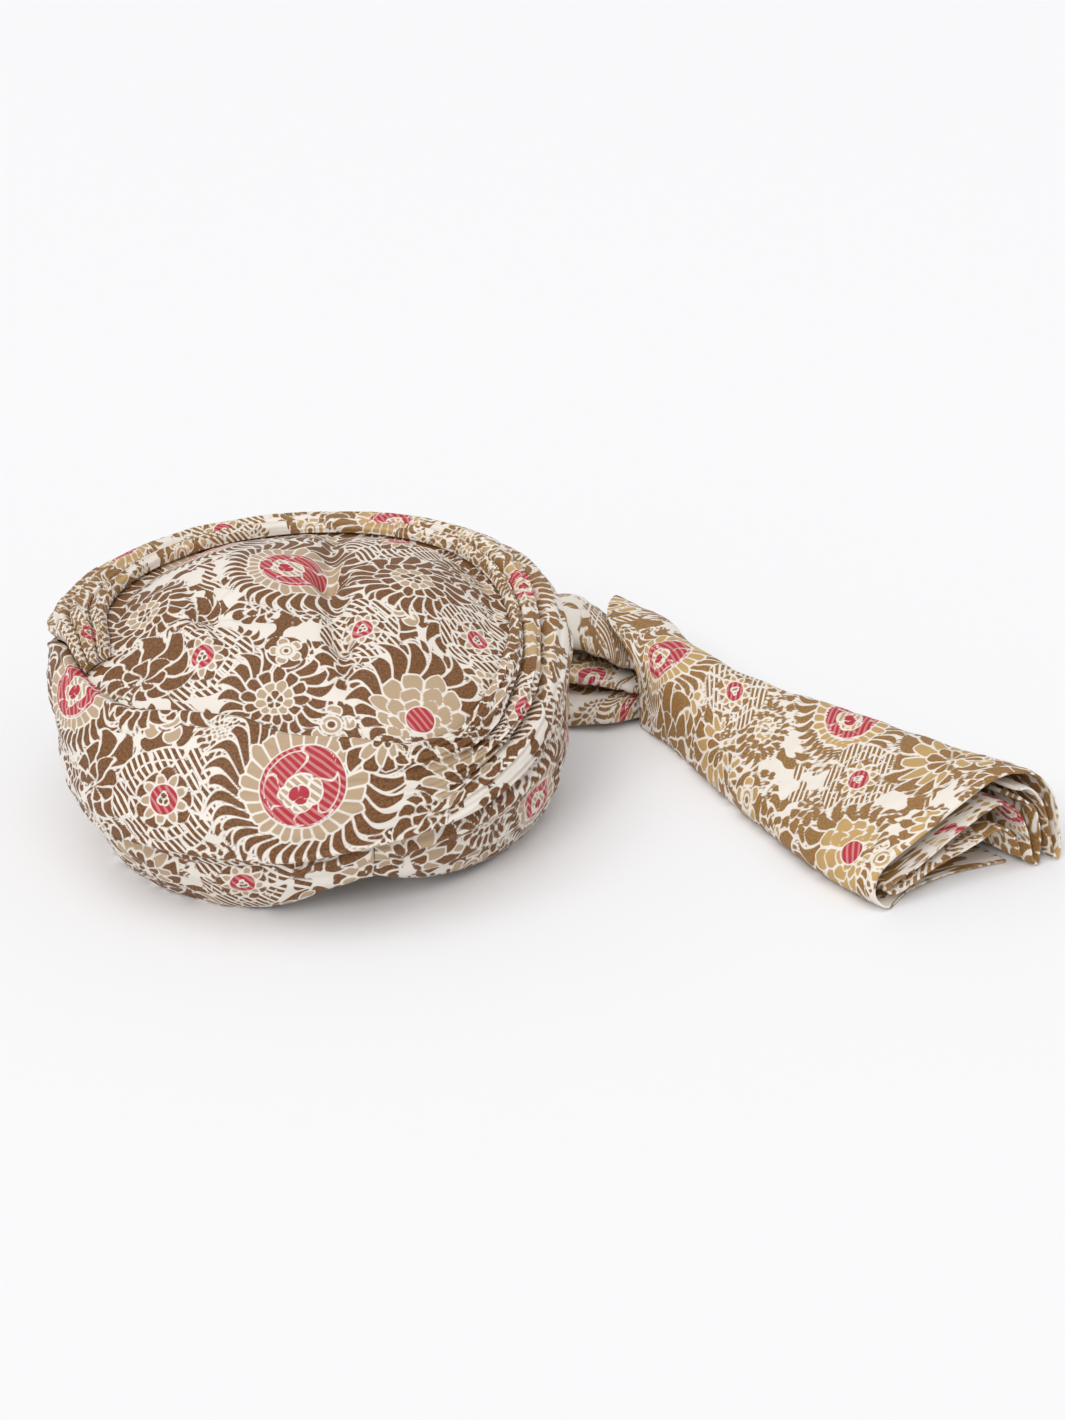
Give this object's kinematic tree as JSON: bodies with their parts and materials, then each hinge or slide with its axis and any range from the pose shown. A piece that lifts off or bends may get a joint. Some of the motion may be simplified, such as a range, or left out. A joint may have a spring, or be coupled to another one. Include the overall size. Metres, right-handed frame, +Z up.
{
  "type": "tied turban pagri",
  "caption": "Ready-tied brocade turban: thick wound ring, puffed crown, rolled coils, open head hollow and a long pleated cloth end laid beside it.",
  "frame": {"origin": "on the floor under the middle of the whole, turban and laid-out end together", "axes": "+Z up through the crown, -Y the turban's front, +X towards the laid-out cloth end"},
  "size_m": [0.5096, 0.3144, 0.1267],
  "materials": {
    "brocade": "woven brocade, cream satin with brown, beige and red figures",
    "gilt_brocade": "woven brocade, cream satin with brown and gilt figures",
    "inner_turns": "reverse of the brocade, matt"
  },
  "bodies": {
    "root": {"wound_core": "inner_turns", "crown_cloth": "brocade", "brow_wrap": "brocade", "side_wrap": "brocade", "back_wrap": "brocade", "front_wrap": "brocade", "tail_root": "gilt_brocade", "tail_outer": "gilt_brocade", "tail_pleats": "gilt_brocade"}
  },
  "joints": []
}
